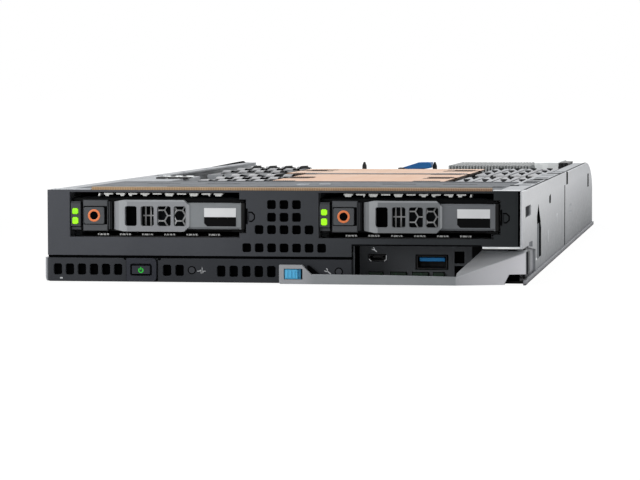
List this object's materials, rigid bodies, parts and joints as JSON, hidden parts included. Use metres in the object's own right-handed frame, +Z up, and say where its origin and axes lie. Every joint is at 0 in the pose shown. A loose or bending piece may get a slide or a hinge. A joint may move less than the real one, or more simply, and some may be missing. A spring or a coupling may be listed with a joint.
{
  "type": "half-width server sled",
  "caption": "Half-width rack server sled with hot-swap drive bays, service ports, a cam release lever, finned heatsinks and memory rows in an open-topped sheet-metal tray.",
  "frame": {"origin": "under the middle of the sled's bounding box, on the plane that it rests on", "axes": "+Z up, +Y from the front panel to the rear connectors, +X to the right seen from the front"},
  "size_m": [0.211, 0.525, 0.0414],
  "materials": {
    "galvanised_steel": "satin zinc-coated sheet",
    "panel_paint": "charcoal fine texture paint",
    "bezel_plastic": "charcoal moulded plastic",
    "power_plastic": "charcoal moulded plastic",
    "light_clear": "tinted light guide",
    "light_smoked": "smoked light guide, unlit",
    "finger_steel": "bright spring steel",
    "gasket_fabric": "woven conductive cloth over foam",
    "board_laminate": "green solder mask",
    "connector_plastic": "black moulded plastic",
    "port_steel": "bright plated shell",
    "port_blue": "blue moulded plastic",
    "lever_paint": "grey metallic paint",
    "latch_blue": "light blue moulded plastic",
    "pin_steel": "turned steel",
    "carrier_plastic": "black moulded plastic",
    "handle_plastic": "grey moulded plastic",
    "button_plastic": "dark grey moulded plastic with a ring",
    "mesh_steel": "perforated stainless sheet",
    "disk_metal": "cast and stamped drive case",
    "sink_fins": "mill-finish fins",
    "sink_copper": "pale copper sheet",
    "package_metal": "nickel-plated lid",
    "blank_plastic": "light grey moulded plastic",
    "latch_black": "black moulded plastic",
    "bush_metal": "die-cast guide bush"
  },
  "bodies": {
    "sled": {"base_pan": "galvanised_steel", "left_wall": "galvanised_steel", "right_wall_front": "galvanised_steel", "right_wall_rear": "galvanised_steel", "rear_panel": "galvanised_steel", "front_panel": "panel_paint", "drive_cage": "galvanised_steel", "emi_fingers": "finger_steel", "emi_gasket": "gasket_fabric", "lower_bezel": "bezel_plastic", "power_surround": "power_plastic", "status_lights": "light_smoked", "io_panel": "panel_paint", "control_board": "board_laminate", "port_shells": "port_steel", "usb_tongue": "port_blue", "lever_pin": "pin_steel", "drive_backplane": "board_laminate", "backplane_connectors": "connector_plastic", "system_board": "board_laminate", "processor_sockets": "connector_plastic", "processors": "package_metal", "front_heatsink": "sink_fins", "rear_heatsink": "sink_fins", "front_heatsink_plate": "sink_copper", "rear_heatsink_plate": "sink_copper", "heatsink_screws": "pin_steel", "memory_sockets": "connector_plastic", "memory_blanks": "blank_plastic", "side_baffle": "galvanised_steel", "mezzanine_card": "board_laminate", "mezzanine_heatsink": "sink_fins", "mezzanine_bracket": "galvanised_steel", "mezzanine_connectors": "connector_plastic", "rear_connectors": "connector_plastic", "guide_sockets": "bush_metal", "latch_frame": "latch_black"},
    "power_button": {"power_button": "power_plastic"},
    "release_lever": {"release_lever": "lever_paint"},
    "lever_latch": {"lever_latch": "latch_blue"},
    "card_latch": {"card_latch": "latch_blue"},
    "front_latches_fore": {"front_memory_latches_fore": "latch_black"},
    "front_latches_aft": {"front_memory_latches_aft": "latch_black"},
    "rear_latches_fore": {"rear_memory_latches_fore": "latch_black"},
    "rear_latches_aft": {"rear_memory_latches_aft": "latch_black"},
    "left_drive": {"left_drive_carrier": "carrier_plastic", "left_drive_hinge_pin": "pin_steel", "left_drive_lights": "light_clear", "left_drive_mesh": "mesh_steel", "left_drive_disk": "disk_metal"},
    "left_handle": {"left_drive_handle": "handle_plastic"},
    "left_button": {"left_drive_button": "button_plastic"},
    "right_drive": {"right_drive_carrier": "carrier_plastic", "right_drive_hinge_pin": "pin_steel", "right_drive_lights": "light_clear", "right_drive_mesh": "mesh_steel", "right_drive_disk": "disk_metal"},
    "right_handle": {"right_drive_handle": "handle_plastic"},
    "right_button": {"right_drive_button": "button_plastic"}
  },
  "joints": [
    {"name": "power_press", "type": "slide", "parent": "sled", "child": "power_button", "axis": [0, 1, 0], "range_m": [0, 0.001], "stiffness_N_per_m": 800},
    {"name": "lever_swing", "type": "hinge", "parent": "sled", "child": "release_lever", "pos_m": [0.098, -0.243, 0.009], "axis": [0, 0, 1], "range_deg": [0, 70]},
    {"name": "lever_latch_slide", "type": "slide", "parent": "release_lever", "child": "lever_latch", "axis": [1, 0, 0], "range_m": [0, 0.0018], "stiffness_N_per_m": 600},
    {"name": "card_latch_lift", "type": "hinge", "parent": "sled", "child": "card_latch", "pos_m": [-0.0075, 0.2, 0.0352], "axis": [0, -1, 0], "range_deg": [0, 60]},
    {"name": "front_latches_fore_tilt", "type": "hinge", "parent": "sled", "child": "front_latches_fore", "pos_m": [0.01, -0.1358, 0.0095], "axis": [1, 0, 0], "range_deg": [0, 18]},
    {"name": "front_latches_aft_tilt", "type": "hinge", "parent": "sled", "child": "front_latches_aft", "pos_m": [0.01, -0.0072, 0.0095], "axis": [-1, 0, 0], "range_deg": [0, 18]},
    {"name": "rear_latches_fore_tilt", "type": "hinge", "parent": "sled", "child": "rear_latches_fore", "pos_m": [0.01, 0.0152, 0.0095], "axis": [1, 0, 0], "range_deg": [0, 18]},
    {"name": "rear_latches_aft_tilt", "type": "hinge", "parent": "sled", "child": "rear_latches_aft", "pos_m": [0.01, 0.1438, 0.0095], "axis": [-1, 0, 0], "range_deg": [0, 18]},
    {"name": "left_drive_pull", "type": "slide", "parent": "sled", "child": "left_drive", "axis": [0, -1, 0], "range_m": [0, 0.11]},
    {"name": "left_handle_swing", "type": "hinge", "parent": "left_drive", "child": "left_handle", "pos_m": [-0.0174, -0.2566, 0.0288], "axis": [0, 0, 1], "range_deg": [0, 50]},
    {"name": "left_button_press", "type": "slide", "parent": "left_drive", "child": "left_button", "axis": [0, 1, 0], "range_m": [0, 0.0015], "stiffness_N_per_m": 800},
    {"name": "right_drive_pull", "type": "slide", "parent": "sled", "child": "right_drive", "axis": [0, -1, 0], "range_m": [0, 0.11]},
    {"name": "right_handle_swing", "type": "hinge", "parent": "right_drive", "child": "right_handle", "pos_m": [0.0924, -0.2566, 0.0288], "axis": [0, 0, 1], "range_deg": [0, 50]},
    {"name": "right_button_press", "type": "slide", "parent": "right_drive", "child": "right_button", "axis": [0, 1, 0], "range_m": [0, 0.0015], "stiffness_N_per_m": 800}
  ]
}
